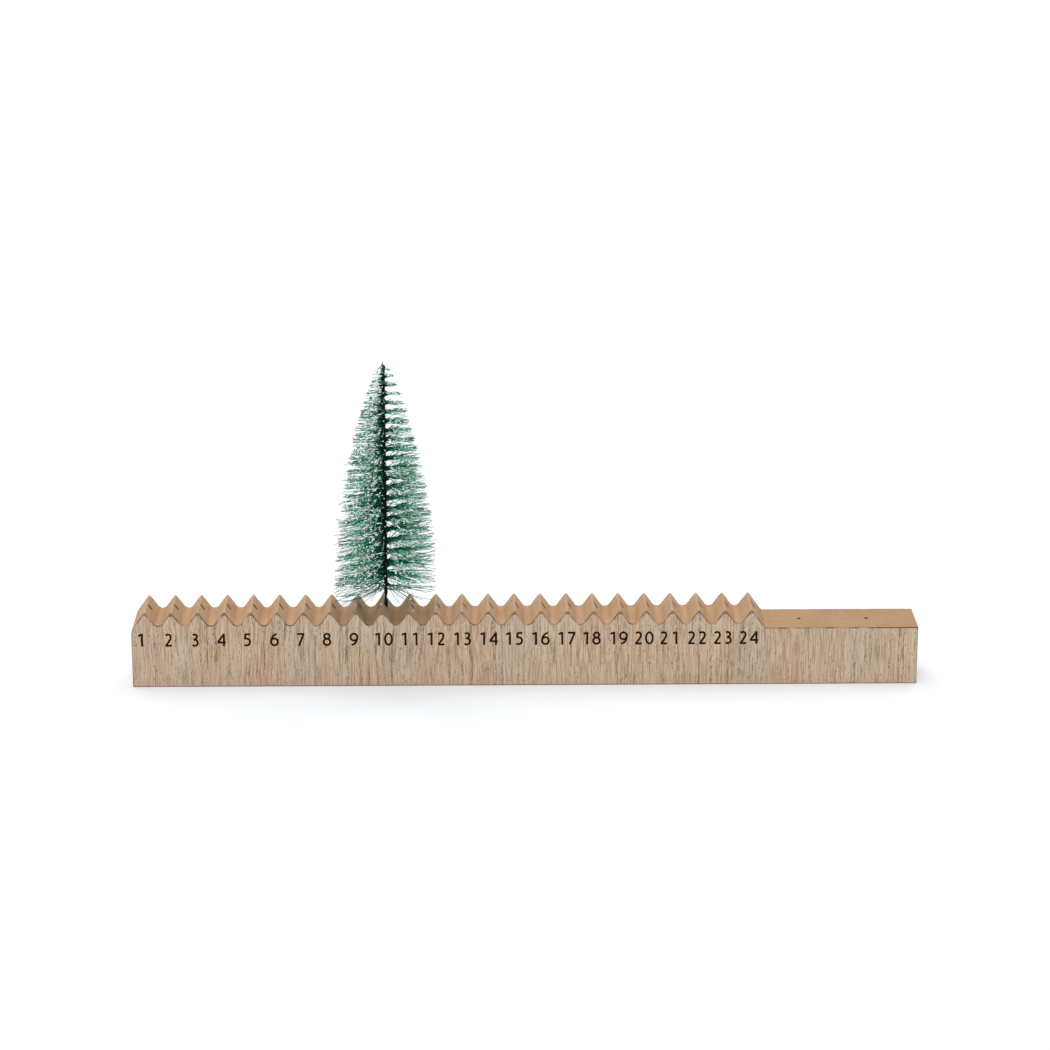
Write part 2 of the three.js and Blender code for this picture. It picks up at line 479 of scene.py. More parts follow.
@dataclass(frozen=True)
class BoardFinish(CoatedFinish):
    """Sawn and sanded wood-fibre board: darker along its faces, brown where cut, painted light and
    shade on its teeth, painted shade on its pad.
    """

    name: str = "fibre_board"
    plain: Colour = (193, 158, 124)
    warm: Colour = (187, 145, 107)
    pale: Colour = (206, 175, 140)
    crest: Colour = (198, 172, 140)
    pad: Colour = (168, 134, 99)
    fleck: Colour = (150, 112, 78)
    face: Colour = (148, 111, 84)
    scorch: Colour = (60, 38, 26)
    socket_start: float = 0.0
    socket_pitch: float = 1.0
    pad_sockets: tuple[float, ...] = ()
    socket_radius: float = 1.4
    pad_radius: float = 1.2
    scorch_width: float = 0.35
    pad_span: Span = (146, 156)
    cloud: Grain = Grain((13, 22, 9), 3, 0.55)
    saw: Grain = Grain((1.6, 30, 1.3), 3, 0.6)
    felt: Grain = Grain((0.5, 1.6, 0.5), 3, 0.65)
    drag: Grain = Grain((15, 1.5, 1), 3, 0.6)
    drag_z: float = 4.0
    drag_span: Span = (0.35, 0.7)
    drag_shares: tuple[float, float] = (0.3, 0.6)
    fleck_sizes: tuple[float, float, float] = (0.9, 2.4, 0.9)
    fleck_radii: Span = (0.12, 0.3)
    fleck_chances: Span = (0.1, 0.16)
    ground: str = "plain"
    coats: tuple[Coat, ...] = (
        Coat("warm", "cloud", span=(0.34, 0.68)),
        Coat("pale", "saw", 0.35, (0.45, 0.75)),
        Coat("fleck", "felt", 0.22, (0.35, 0.8)),
        Coat("fleck", "flecks", 0.4),
        # painted light and shade: paler higher up the teeth, darker down in the valleys
        Coat("crest", "height", 0.38, (42, 46)),
        # painted shade: darkens the flat pad's top, patchy along drag marks
        Coat("pad", "pad"),
        Coat("face", "off_middle", 0.92, (16.9, 17.3)),
        Coat("scorch", "burnt", 0.6),
    )
    rough: tuple[float, float, str] = (0.7, 0.2, "felt")
    relief: tuple[tuple[float, str], ...] = ((0.5, "felt"), (0.5, "saw"), (-0.3, "flecks"))
    depth: float = 0.06
    gloss: float = 0.25

    def layers(self, bench: Bench) -> Layers:
        """The board's fibres, saw marks and flecks, its heights, faces, pad and sockets.

        Args:
            bench: Where the nodes go.

        Returns:
            The layers by name.
        """
        place = x, y, z = bench.place()
        spot, chance = bench.cells(self.fleck_sizes, place)
        drag = bench.noise(self.drag, (x, y, self.drag_z)).ramp(*self.drag_span)
        least, more = self.drag_shares
        pad = x.ramp(*self.pad_span)

        def scorched(off: Signal, radius: float) -> Signal:
            """1 in a socket's mouth and 0 beyond its scorched rim."""
            return 1 - ((off**2 + y**2) ** 0.5).ramp(radius, radius + self.scorch_width)

        steps = (x - self.socket_start) / self.socket_pitch + 0.5
        off = (steps - steps.reckon("FLOOR", steps) - 0.5) * self.socket_pitch
        burnt = scorched(off, self.socket_radius) * (1 - pad)
        for middle in self.pad_sockets:
            burnt = burnt + scorched(x - middle, self.pad_radius)
        return {
            **{name: bench.noise(getattr(self, name), place) for name in ("cloud", "saw", "felt")},
            "flecks": (1 - spot.ramp(*self.fleck_radii)) * (1 - chance.ramp(*self.fleck_chances)),
            "height": z,
            "off_middle": abs(y),
            "pad": pad * (least + drag * more),
            "burnt": burnt,
        }


@dataclass(frozen=True)
class BoreFinish(CoatedFinish):
    """The rough wall of a drilled socket, brown and darkened to near black: painted shade deep in
    the socket.
    """

    name: str = "drilled_board"
    # near black: painted shade inside the socket, over a brown wall
    wall: Colour = (30, 20, 14)
    dust: Colour = (60, 42, 30)
    grain: Grain = Grain((0.5, 0.5, 0.3), 3, 0.6)
    ground: str = "wall"
    coats: tuple[Coat, ...] = (Coat("dust", "grain", span=(0.5, 0.8)),)
    rough: tuple[float, float, str] = (0.9, 0.0, "")
    depth: float = 0.1
    gloss: float = 0.1


@dataclass(frozen=True)
class InkFinish(CoatedFinish):
    """Matt printing ink that the grain breaks up a little."""

    name: str = "printing_ink"
    full: Colour = (28, 12, 3)
    thin: Colour = (70, 46, 31)
    grain: Grain = Grain((0.35, 1, 2.6), 3, 0.6, 5)
    ground: str = "full"
    coats: tuple[Coat, ...] = (Coat("thin", "grain", 0.7, (0.56, 0.78)),)
    rough: tuple[float, float, str] = (0.6, 0.25, "grain")
    gloss: float = 0.1


@dataclass(frozen=True)
class WireFinish(CoatedFinish):
    """Dark green lacquered steel wire, bare at its cut tip."""

    name: str = "lacquered_wire"
    lacquer: Colour = (3, 26, 18)
    worn: Colour = (46, 56, 50)
    bare: Colour = (120, 124, 120)
    grain: Grain = Grain((0.8, 0.8, 2.2), 3, 0.6)
    metal_span: Span = (0.6, 0.8)
    metal_share: float = 0.4
    ground: str = "lacquer"
    coats: tuple[Coat, ...] = (
        Coat("worn", "grain", 0.6, (0.55, 0.75)),
        Coat("bare", "height", 0.8, (202, 209)),
    )
    rough: tuple[float, float, str] = (0.38, 0.25, "grain")
    gloss: float = 0.15

    def layers(self, bench: Bench) -> Layers:
        """The grain and the height, and the metal where the lacquer is worn."""
        made = super().layers(bench)
        return {**made, "metal": made["grain"].ramp(*self.metal_span) * self.metal_share}


@dataclass(frozen=True)
class BristleFinish(CoatedFinish):
    """Dyed green bristle, darker towards the stem by painted shade inside the brush, lighter
    outwards and frosted at the tips.
    """

    name: str = "dyed_bristle_painted_shade"
    # root, shade and inner: painted shade, darkest at the stem where the bristles shade each other;
    # the chart grows lighter outwards
    root: Colour = (0, 32, 22)
    shade: Colour = (0, 60, 42)
    inner: Colour = (0, 100, 68)
    middle: Colour = (0, 140, 98)
    outer: Colour = (13, 180, 138)
    tip: Colour = (116, 134, 128)
    frost: Colour = (198, 252, 232)
    # dark: painted shade laid over the darkest tint, which most loose strands at the foot take
    dark: Colour = (16, 52, 41)
    stops: tuple[tuple[float, str], ...] = (
        *((0.0, "root"), (0.1, "shade"), (0.24, "inner")),
        *((0.45, "middle"), (0.76, "outer"), (1.0, "tip")),
    )
    stray_share: float = 0.16
    stray_span: Span = (0.0, 0.3)
    frosted_tints: Span = (0.6, 0.95)
    frosted_from: Span = (0.3, 0.6)
    bare_end: Span = (0.8, 1.0)
    bare_share: float = 0.45
    coats: tuple[Coat, ...] = (
        # painted shade on the darkest tint: strands in the shadow under the brush at the foot
        Coat("dark", "tint", 0.75, (0.14, 0.0)),
        Coat("frost", "frosted", 0.78),
    )
    rough: tuple[float, float, str] = (0.45, 0.25, "along")
    relief: tuple[tuple[float, str], ...] = ()
    gloss: float = 0.12

    def layers(self, bench: Bench) -> Layers:
        """The place along the strand, the strand's tint, and how frosted it is.

        Args:
            bench: Where the nodes go.

        Returns:
            The layers by name.
        """
        along, tint = bench.attribute("along"), bench.attribute("tint")
        frosted = tint.ramp(*self.frosted_tints) * along.ramp(*self.frosted_from)
        frosted = frosted * (1 - along.ramp(*self.bare_end) * self.bare_share)
        return {"along": along, "tint": tint, "frosted": frosted}

    def base(self, bench: Bench, layers: Layers) -> object:
        """The colour from the root to the tip, painted shade near the stem and the dyed green
        further out, a little further on or back in each tint.

        Args:
            bench: Where the nodes go.
            layers: The layers by name.

        Returns:
            The colour.
        """
        along, tint = layers["along"], layers["tint"]
        place = along + (tint - 0.5) * self.stray_share * along.ramp(*self.stray_span)
        stops = [(position, self.colour(name)) for position, name in self.stops]
        return bench.add("ShaderNodeValToRGB", {"stops": stops}, {0: place}, "Color")


@dataclass(frozen=True)
class SnowFinish(CoatedFinish):
    """Small white foam granules, tinted mint in patches: painted green light bounced from the
    bristles.
    """

    name: str = "foam_granules"
    white: Colour = (253, 255, 254)
    # shade: painted reflection, a mint tint for green light bounced from the bristles
    shade: Colour = (228, 241, 235)
    grain: Grain = Grain((0.4, 0.4, 0.4), 2, 0.5)
    ground: str = "white"
    coats: tuple[Coat, ...] = (Coat("shade", "grain", span=(0.4, 0.7)),)
    depth: float = 0.12


@dataclass(frozen=True)
class FloorFinish(Finish):
    """A white floor: the lit part is as white as the background, a shadow stays a pale grey."""

    name: str = "white_floor"
    share: float = 0.8
    lift: float = 0.26
    cool: Colour = (0.93, 0.962, 1.0)

    def draw(self, bench: Bench) -> None:
        """Puts the nodes on the bench.

        Args:
            bench: Where the nodes go.
        """
        grey = (*(self.share * part for part in self.cool), 1.0)
        matt = bench.add("ShaderNodeBsdfDiffuse", None, {"Color": grey})
        light = {"Color": WHITE, "Strength": bench.looked_at() * self.lift}
        glow = bench.add("ShaderNodeEmission", None, light)
        bench.close(bench.add("ShaderNodeAddShader", None, {0: matt, 1: glow}))


# Mesh work


def new_piece(
    name: str, mesh: bpy.types.Mesh, body: Body, slot: Slot, *nodes: str
) -> bpy.types.Object:
    """Puts a mesh into the scene as a piece of the object.

    Args:
        name: The piece's name.
        mesh: Its mesh, in metres in the frame.
        body: The body that it rides on.
        slot: The record's slot that it takes its finish from; not used.
        nodes: The frame's nodes that it stands for.

    Returns:
        The new object.
    """
    piece = bpy.data.objects.new(name, mesh)
    bpy.context.scene.collection.objects.link(piece)
    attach(piece, body.value)
    if nodes:
        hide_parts(*nodes)
    LOG.info("%s: %d faces on %s", name, len(mesh.polygons), body.value)
    return piece


def smooth(mesh: bpy.types.Mesh, degrees: float) -> None:
    """Shades a mesh smooth but for edges sharper than the angle."""
    mesh.shade_smooth()
    mesh.set_sharp_from_angle(angle=math.radians(degrees))


def mesh_of(
    name: str, points: Iterable[Vector], faces: Iterable[Sequence[int]], *finishes: Finish
) -> bpy.types.Mesh:
    """A mesh in metres.

    Args:
        name: The mesh's name.
        points: Its corners, in millimetres.
        faces: The numbers of each face's corners.
        finishes: What it is dressed in, if anything.

    Returns:
        The mesh.
    """
    mesh = bpy.data.meshes.new(name)
    mesh.from_pydata([Vector(point) * MM for point in points], [], [list(face) for face in faces])
    mesh.validate()
    for finish in finishes:
        mesh.materials.append(finish.material())
    return mesh


def carry(mesh: bpy.types.Mesh, name: str, values: Sequence[float]) -> None:
    """Gives each corner point of a mesh a number that a finish can read."""
    mesh.attributes.new(name, "FLOAT", "POINT").data.foreach_set("value", values)


def walls(count: int, rings: int, first: int = 0) -> list[tuple[int, ...]]:
    """The faces between rings of points that follow each other.

    Args:
        count: How many points each ring has.
        rings: How many rings there are.
        first: The number of the first point.

    Returns:
        The numbers of each face's four corners.
    """
    return [
        (near + i, near + (i + 1) % count, near + count + (i + 1) % count, near + count + i)
        for near in range(first, first + (rings - 1) * count, count)
        for i in range(count)
    ]


def arc(x: float, z: float, radius: float, start: float, end: float, steps: int) -> list[Point2]:
    """Points of an arc from one angle to another, both ends included."""
    turns = [start + (end - start) * step / steps for step in range(steps + 1)]
    return [(x + radius * math.cos(turn), z + radius * math.sin(turn)) for turn in turns]


def resample(outline: Sequence[Point2], spacing: float) -> list[Point2]:
    """A closed outline with more points.

    Args:
        outline: The outline's points.
        spacing: The most that two neighbours may be apart.

    Returns:
        The old points with new ones between them.
    """
    result = []
    for (x, z), (next_x, next_z) in zip(outline, [*outline[1:], outline[0]]):
        count = max(1, math.ceil(math.dist((x, z), (next_x, next_z)) / spacing))
        shares = [(step, count) for step in range(count)]
        result += [(x + (next_x - x) * a / b, z + (next_z - z) * a / b) for a, b in shares]
    return result


def between(rows: Sequence[Sequence[float]], place: float) -> list[float]:
    """What a table gives at a place between two of its rows.

    Args:
        rows: Rows of a place and its values, in order.
        place: Where to read it.

    Returns:
        The values there.
    """
    pairs = zip(rows, rows[1:])
    low, high = next(((low, high) for low, high in pairs if place <= high[0]), rows[-2:])
    share = min(1.0, max(0.0, (place - low[0]) / (high[0] - low[0])))
    return [a + (b - a) * share for a, b in zip(low[1:], high[1:])]


def inset(outline: Sequence[Point2], distance: float) -> list[Point2]:
    """A closed clockwise outline moved inwards.

    Args:
        outline: The outline's points.
        distance: How far its edges move.

    Returns:
        As many points, inside the outline.
    """
    sharpest = 0.5
    result = []
    befores, afters = [outline[-1], *outline[:-1]], [*outline[1:], outline[0]]
    for before, here, after in zip(befores, outline, afters):
        arriving = Vector((here[0] - before[0], here[1] - before[1])).normalized()
        leaving = Vector((after[0] - here[0], after[1] - here[1])).normalized()
        mean = arriving + leaving
        inward = Vector((mean.y, -mean.x)).normalized()
        reach = distance / max(sharpest, inward.dot(Vector((leaving.y, -leaving.x))))
        result.append((here[0] + inward.x * reach, here[1] + inward.y * reach))
    return result


@dataclass(frozen=True)
class Rim:
    """One loop of a board: the outline moved inwards, at a depth, and how dark its edge is there,
    brown and at the foot painted contact shadow.
    """

    inset: float
    y: float
    browned: float = 0.0


def board_mesh(
    name: str,
    outline: Sequence[Point2],
    rims: Sequence[Rim],
    stains_and_shade: Sequence[float] = (),
    *finishes: Finish,
) -> bpy.types.Mesh:
    """A board with a worn edge.

    Args:
        name: The mesh's name.
        outline: The clockwise outline from the front.
        rims: Its loops from the front to the back.
        stains_and_shade: How dark each point of the outline's edge is, brown and at the foot
            painted contact shadow; full if none are given.
        finishes: What it is dressed in, if anything.
    Returns:
        The closed mesh, with the attribute "rim".
    """
    count = len(outline)
    points, browned = [], []
    for rim in rims:
        points += [Vector((x, rim.y, z)) for x, z in inset(outline, rim.inset)]
        browned += [rim.browned * stain for stain in stains_and_shade or [1.0] * count]
    front, back = range(count - 1, -1, -1), range(len(points) - count, len(points))
    mesh = mesh_of(name, points, [front, *walls(count, len(rims)), back], *finishes)
    carry(mesh, "rim", browned)
    return mesh


# Bar


@dataclass
class Bar:
    """The bar: a toothed board between two veneers, with its sockets."""

    ridge_count: int = 24
    pitch: float = 16.74
    end_inset: float = 8.8
    pad_length: float = 97.4
    ridge_height: float = 50
    tooth_depth: float = 8.9
    pad_drop: float = 12
    tip_radius: float = 0.6
    valley_radius: float = 3.4
    fillet_radius: float = 2
    core_depth: float = 34.8
    veneer: float = 0.6
    veneer_tip_radius: float = 2.8
    socket_offset: float = 1.9
    socket_depth: float = 14
    socket_diameter: float = 2.8
    pad_socket_diameter: float = 2.4
    pad_socket_depth: float = 10
    pad_socket_shares: tuple[float, float] = (0.236, 0.679)
    tip_steps: int = 10
    valley_steps: int = 14
    shoulder_steps: int = 6
    corner_steps: int = 5
    drill_sides: int = 28
    drill_overrun: float = 2
    bore_slack: float = 0.1
    bore_share: float = 0.51
    worn_edge: float = 0.25
    core_corner: float = 0.3
    core_smooth: float = 25
    corner_radius: float = 0.9
    shoulder_radius: float = 9
    worn_tip_radius: float = 0.95
    pad_wear: Span = (-6, 4)
    tip_spread: Span = (-0.45, 0.4)
    veneer_spacing: float = 0.7
    veneer_wear: tuple[float, float, float] = (0.75, 0.2, 0.15)
    veneer_smooth: float = 30
    grain_shift: float = 180
    ragged: float = 0.11
    ragged_start: float = 30
    ragged_rise: float = 5
    dents: tuple[float, float] = (0.9, 5.0)
    nicks: tuple[float, float, float] = (0.35, 9.0, 1.6)
    stained_length: float = 27
    stained_foot: float = 2
    stained_end: float = 0.7
    stain_sizes: tuple[float, float, float] = (0.16, 0.25, 3.0)
    stain_mean: float = 0.66
    stain_least: float = 0.3
    seed: int = 24
    flank: float = field(init=False)
    sharp_height: float = field(init=False)
    length: float = field(init=False)

    def __post_init__(self) -> None:
        """Works out the flank's angle and the lengths that follow from it."""
        drop = self.tooth_depth - self.tip_radius - self.valley_radius
        run = self.pitch / 2
        radii = self.tip_radius + self.valley_radius
        self.flank = math.atan2(drop, run) + math.asin(radii / math.hypot(drop, run))
        rounding = self.tip_radius / math.cos(self.flank)
        self.sharp_height = self.ridge_height - self.tip_radius + rounding
        last_run = (self.sharp_height - self.pad_height) / math.tan(self.flank)
        last_ridge = self.end_inset + (self.ridge_count - 1) * self.pitch
        self.length = last_ridge + last_run + self.pad_length

    @property
    def pad_height(self) -> float:
        """Height of the flat pad."""
        return self.ridge_height - self.pad_drop
    @property
    def valley_centre(self) -> float:
        """Height of the middle of a valley's rounding."""
        return self.ridge_height - self.tooth_depth + self.valley_radius

    @property
    def days(self) -> range:
        """The numbers of the ridges."""
        return range(1, self.ridge_count + 1)

    @property
    def pad_start(self) -> float:
        """X of the pad's left end."""
        return self.length / 2 - self.pad_length
    @property
    def front(self) -> float:
        """Y of the numbered face."""
        return -self.core_depth / 2 - self.veneer

    def ridge_x(self, day: int) -> float:
        """X of a day's ridge."""
        return -self.length / 2 + self.end_inset + (day - 1) * self.pitch

    def socket_x(self, day: int) -> float:
        """X of a day's socket."""
        return self.ridge_x(day) + self.socket_offset

    @property
    def pad_socket_places(self) -> tuple[float, ...]:
        """X of the pad's sockets."""
        return tuple(self.pad_start + share * self.pad_length for share in self.pad_socket_shares)

    @property
    def holes(self) -> list[tuple[float, float, float, float]]:
        """Each socket's X, the height of its top, its depth and its diameter."""
        ridge = (self.ridge_height, self.socket_depth, self.socket_diameter)
        pad = (self.pad_height, self.pad_socket_depth, self.pad_socket_diameter)
        on_ridges = [(self.socket_x(day), *ridge) for day in self.days]
        return on_ridges + [(x, *pad) for x in self.pad_socket_places]

    def surface(self, x: float) -> float:
        """Height of the toothed top at x.

        Args:
            x: A place along the ridges.

        Returns:
            The height there.
        """
        ridge = round((x - self.ridge_x(1)) / self.pitch)
        off = abs(x - self.ridge_x(1) - ridge * self.pitch)
        height = self.sharp_height - off * math.tan(self.flank)
        if off < self.tip_radius * math.sin(self.flank):
            centre = self.ridge_height - self.tip_radius
            return min(height, centre + math.sqrt(self.tip_radius**2 - off**2))
        low = self.pitch / 2 - off
        if low < self.valley_radius * math.sin(self.flank):
            return max(height, self.valley_centre - math.sqrt(self.valley_radius**2 - low**2))
        return height

    def outline(self, radii: Sequence[float], corner: float) -> list[Point2]:
        """The bar's clockwise outline from the front.

        Args:
            radii: Each ridge's tip radius.
            corner: The radius of the two bottom corners.

        Returns:
            Its points, starting at the left end's lowest.
        """
        flank, half, radius = self.flank, self.length / 2, self.shoulder_radius
        points = arc(corner - half, corner, corner, -QUARTER, -2 * QUARTER, self.corner_steps)
        corner_z = self.sharp_height - self.end_inset * math.tan(flank)
        shoulder_z = corner_z - radius * math.tan((QUARTER - flank) / 2)
        shoulder = (radius, 2 * QUARTER, QUARTER + flank, self.shoulder_steps)
        points += arc(radius - half, shoulder_z, *shoulder)
        valley = (self.valley_radius, -QUARTER - flank, -QUARTER + flank, self.valley_steps)
        for day, radius in zip(self.days, radii):
            x, centre = self.ridge_x(day), self.sharp_height - radius / math.cos(flank)
            points += arc(x, centre, radius, QUARTER + flank, QUARTER - flank, self.tip_steps)
            if day < self.ridge_count:
                points += arc(x + self.pitch / 2, self.valley_centre, *valley)
        fillet = (self.fillet_radius, -QUARTER - flank, -QUARTER, self.tip_steps)
        fillet_x = self.pad_start + self.fillet_radius * math.tan(flank / 2)
        points += arc(fillet_x, self.pad_height + self.fillet_radius, *fillet)
        points.append((half, self.pad_height))
        return points + arc(half - corner, corner, corner, 0, -QUARTER, self.corner_steps)

    def drilled(self, board: bpy.types.Object) -> bpy.types.Mesh:
        """The board with its sockets.

        Args:
            board: The object to drill.

        Returns:
            Its mesh with every socket cut into it, and their walls in the second material.
        """
        bits = bmesh.new()
        for x, top, depth, diameter in self.holes:
            height = depth + self.drill_overrun
            middle = Vector((x, 0, top + self.drill_overrun - height / 2))
            bmesh.ops.create_cone(
                bits,
                cap_ends=True,
                segments=self.drill_sides,
                radius1=diameter / 2 * MM,
                radius2=diameter / 2 * MM,
                depth=height * MM,
                matrix=Matrix.Translation(middle * MM),
            )
        mesh = bpy.data.meshes.new("drill_bits")
        bits.to_mesh(mesh)
        bits.free()
        drill = bpy.data.objects.new("drill_bits", mesh)
        bpy.context.scene.collection.objects.link(drill)
        cut = board.modifiers.new("drill", "BOOLEAN")
        cut.operation, cut.solver, cut.object = "DIFFERENCE", "EXACT", drill
        view = board.evaluated_get(bpy.context.evaluated_depsgraph_get())
        result = bpy.data.meshes.new_from_object(view)
        board.modifiers.clear()
        bpy.data.objects.remove(drill)
        for face in result.polygons:
            face.material_index = int(any(self.in_bore(face, *hole) for hole in self.holes))
        return result

    def in_bore(
        self, face: bpy.types.MeshPolygon, x: float, top: float, depth: float, diameter: float
    ) -> bool:
        """Whether a face of the drilled board, in metres, is a socket's wall or floor.

        Args:
            face: The face.
            x, top, depth, diameter: The socket.

        Returns:
            True for its wall and its floor.
        """
        middle_x, middle_y, middle_z = (value / MM for value in face.center)
        within = math.hypot(middle_x - x, middle_y) < diameter * self.bore_share
        upright = abs(face.normal.z) < self.bore_slack
        floor = middle_z < top - depth + self.bore_slack
        return within and middle_z < top - self.bore_slack and (upright or floor)

    def finish(self) -> BoardFinish:
        """The board's finish, scorched round every socket."""
        return BoardFinish(
            pad_span=tuple(self.pad_start + shade_offset for shade_offset in self.pad_wear),
            socket_start=self.socket_x(1),
            socket_pitch=self.pitch,
            pad_sockets=self.pad_socket_places,
            socket_radius=self.socket_diameter / 2,
            pad_radius=self.pad_socket_diameter / 2,
        )

    def build_core(self) -> None:
        """The toothed board with its sockets."""
        half, edge = self.core_depth / 2, self.worn_edge
        rims = [Rim(edge, -half), Rim(0, edge - half), Rim(0, half - edge), Rim(edge, half)]
        outline = self.outline([self.worn_tip_radius] * self.ridge_count, self.core_corner)
        mesh = board_mesh("toothed_board", outline, rims)
        core = new_piece("toothed_board", mesh, Body.BAR, Slot.BOARD, "core_block")
        core.data = self.drilled(core)
        core.data.materials.clear()
        for finish in (self.finish(), BoreFinish()):
            core.data.materials.append(finish.material())
        smooth(core.data, self.core_smooth)

    def stain(self, x: float, z: float, side: int) -> float:
        """How dark a veneer's edge is: most at the foot, where it is painted contact shadow over a
        brown edge, and at the front's right end, else patchy.

        Args:
            x, z: A point of the edge.
            side: -1 for the numbered face and 1 for the far one.

        Returns:
            How dark, from 0 to 1.
        """
        half = self.length / 2
        on_pad = z > self.pad_height - 1 and x > half - self.stained_length
        # full along the foot: painted contact shadow over the brown edge
        if z < self.stained_foot or (side < 0 and on_pad):
            return 1.0
        if abs(x) > half - 1:
            return self.stained_end
        across, up, slice_y = self.stain_sizes
        patch = noise.noise(Vector((x * across, z * up, slice_y * side)))
        return min(1.0, max(self.stain_least, self.stain_mean + patch))

    def ragged_edge(self, points: Sequence[Point2], side: int) -> list[Point2]:
        """A veneer's outline with small dents and nicks along the ridges.

        Args:
            points: The even outline.
            side: -1 for the numbered face and 1 for the far one.

        Returns:
            The ragged outline.
        """
        (dent_size, dent_slice), (nick_size, nick_slice, nick_share) = self.dents, self.nicks
        ragged = []
        for (x, z), (inner_x, inner_z) in zip(points, inset(points, 1.0)):
            top = min(1.0, max(0.0, (z - self.ragged_start) / self.ragged_rise))
            place = Vector((x * dent_size, z * dent_size, side * dent_slice))
            dent = noise.noise(place) * 0.5 + 0.5
            place = Vector((x * nick_size, z * nick_size, nick_slice + side))
            nick = max(0.0, noise.noise(place)) * nick_share
            depth = top * self.ragged * (dent + nick)
            ragged.append((x + (inner_x - x) * depth, z + (inner_z - z) * depth))
        return ragged

    def build_veneer(self, name: str, side: int, node: str) -> None:
        """One veneer.

        Args:
            name: The piece's name.
            side: -1 for the numbered face and 1 for the far one.
            node: The frame's node that it stands for.
        """
        rng = random.Random(self.seed + side)
        radii = [self.veneer_tip_radius + rng.uniform(*self.tip_spread) for _ in self.days]
        even = resample(self.outline(radii, self.corner_radius), self.veneer_spacing)
        points = self.ragged_edge(even, side)
        inner, outer = self.core_depth / 2 * side, (self.core_depth / 2 + self.veneer) * side
        clean, worn, edge = self.veneer_wear
        rims = [Rim(clean, outer), Rim(worn, outer, 1.0), Rim(0, outer - edge * side, 1.0)]
        rims.append(Rim(0, inner, 1.0))
        stains_and_shade = [self.stain(x, z, side) for x, z in points]
        finish = VeneerFinish(f"open_grained_veneer_{name}", shift=self.grain_shift * side)
        mesh = board_mesh(name, points, rims if side < 0 else rims[::-1], stains_and_shade, finish)
        smooth(mesh, self.veneer_smooth)
        new_piece(name, mesh, Body.BAR, Slot.VENEER, node)

    def build(self) -> None:
        """The whole bar but for its numbers."""
        self.build_core()
        self.build_veneer("numbered_veneer", -1, "front_veneer")
        self.build_veneer("far_veneer", 1, "back_veneer")


# Numbers


class Line(Enum):
    """How a stroke runs through its points."""

    STRAIGHT = "straight"
    CURVED = "curved"
    RING = "ring"


@dataclass(frozen=True)
class Stroke:
    """One stroke of a digit, in shares of the digit's height. A ring has a centre and two radii."""

    line: Line
    points: tuple[Point2, ...]
    ring_steps: int = 40
    run_steps: int = 7
    sharpest: float = 0.6

    def path(self) -> list[Point2]:
        """The stroke's centre line, fine enough to look smooth.

        Returns:
            Its points.
        """
        if self.line is Line.STRAIGHT:
            return list(self.points)
        if self.line is Line.RING:
            (x, y), (across, up) = self.points
            turns = [TURN * step / self.ring_steps for step in range(self.ring_steps)]
            return [(x + across * math.cos(turn), y + up * math.sin(turn)) for turn in turns]
        knots = [Vector(point) for point in self.points]
        ends = [2 * knots[0] - knots[1], *knots, 2 * knots[-1] - knots[-2]]
        path = []
        for a, b, c, d in zip(ends, ends[1:], ends[2:], ends[3:]):
            square, cube = 2 * a - 5 * b + 4 * c - d, 3 * b - a - 3 * c + d
            for t in (step / self.run_steps for step in range(self.run_steps)):
                path.append(0.5 * (2 * b + (c - a) * t + square * t**2 + cube * t**3))
        return [tuple(point) for point in [*path, knots[-1]]]

    def ribbon(self, width: float) -> list[list[Point2]]:
        """The stroke as four-cornered pieces that share their short sides.

        Args:
            width: The stroke's width.

        Returns:
            The corners of each piece, anticlockwise.
        """
        path = [Vector(point) for point in self.path()]
        closed = self.line is Line.RING
        before = [path[-1] if closed else 2 * path[0] - path[1], *path[:-1]]
        after = [*path[1:], path[0] if closed else 2 * path[-1] - path[-2]]
        sides = []
        for a, b, c in zip(before, path, after):
            run = ((b - a).normalized() + (c - b).normalized()).normalized()
            reach = width / 2 / max(self.sharpest, run.dot((c - b).normalized()))
            across = Vector((-run.y, run.x)) * reach
            sides.append((tuple(b + across), tuple(b - across)))
        following = sides[1:] + (sides[:1] if closed else [])
        return [[*here, *there[::-1]] for here, there in zip(sides, following)]


def curved(*points: Point2) -> Stroke:
    """A stroke that bends through its points."""
    return Stroke(Line.CURVED, points)


def straight(*points: Point2) -> Stroke:
    """A stroke with straight runs."""
    return Stroke(Line.STRAIGHT, points)


def ring(centre: Point2, radii: Point2) -> Stroke:
    """A closed oval stroke."""
    return Stroke(Line.RING, (centre, radii))


